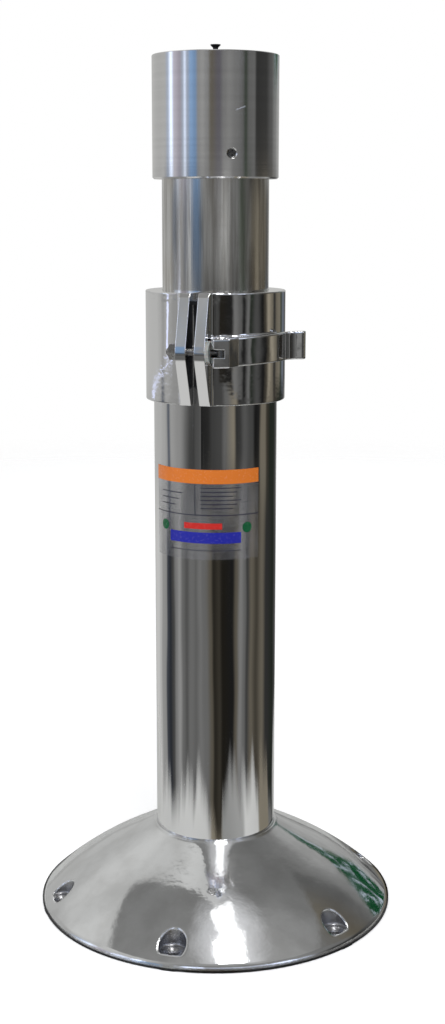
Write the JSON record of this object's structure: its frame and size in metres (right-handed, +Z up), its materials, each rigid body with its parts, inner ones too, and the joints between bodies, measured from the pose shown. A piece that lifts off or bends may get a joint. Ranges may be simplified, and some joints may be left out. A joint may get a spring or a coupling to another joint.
{
  "type": "boat seat pedestal",
  "caption": "Adjustable boat seat pedestal: domed round base, polished lower post, sliding and turning inner post, split clamp collar with a cam lever.",
  "frame": {"origin": "centre of the base's underside, where it stands on the deck", "axes": "+Z up along the post, -Y towards the front, +X to the right"},
  "size_m": [0.2176, 0.2176, 0.516],
  "materials": {
    "cast_aluminium": "cast aluminium, buffed bright",
    "polished_tube": "polished aluminium tube",
    "collar_casting": "cast aluminium, polished",
    "lever_casting": "cast aluminium, polished",
    "satin_tube": "drawn aluminium tube, satin",
    "turned_sleeve": "turned aluminium, satin",
    "bolt_steel": "stainless steel",
    "screw_steel": "stainless steel screw",
    "dark_screw": "blackened steel screw",
    "washer_nylon": "white nylon",
    "guide_plastic": "black moulded nylon",
    "plug_plastic": "black moulded plastic",
    "strut_paint": "black painted steel tube",
    "rod_chrome": "ground and plated rod",
    "plate_steel": "zinc plated steel",
    "label_film": "thin clear film label with an orange band"
  },
  "bodies": {
    "pedestal": {"base_casting": "cast_aluminium", "lower_post": "polished_tube", "upper_guide": "guide_plastic", "clamp_collar": "collar_casting", "clamp_bolt": "bolt_steel", "clamp_nut": "bolt_steel", "clamp_washer": "washer_nylon", "barrel_pin": "bolt_steel", "strut_rod": "rod_chrome", "strut_piston": "bolt_steel", "foot_plate": "plate_steel", "foot_washer": "bolt_steel", "foot_nut": "bolt_steel", "label_film": "label_film"},
    "lever": {"cam_lever": "lever_casting"},
    "lift": {"strut_cylinder": "strut_paint", "strut_gland": "bolt_steel", "top_screw": "dark_screw"},
    "post": {"inner_post": "satin_tube", "top_sleeve": "turned_sleeve", "sleeve_screws": "screw_steel", "foot_guide": "guide_plastic", "top_plug": "plug_plastic", "thrust_washer": "washer_nylon"}
  },
  "joints": [
    {"name": "height_slide", "type": "slide", "parent": "pedestal", "child": "lift", "axis": [0, 0, 1], "range_m": [-0.063, 0.089]},
    {"name": "post_turn", "type": "hinge", "parent": "lift", "child": "post", "pos_m": [0, 0, 0.45], "axis": [0, 0, 1], "continuous": true},
    {"name": "lever_swing", "type": "hinge", "parent": "pedestal", "child": "lever", "pos_m": [0.00453, -0.04879, 0.345], "axis": [0, 0, 1], "range_deg": [-90, 0]}
  ]
}
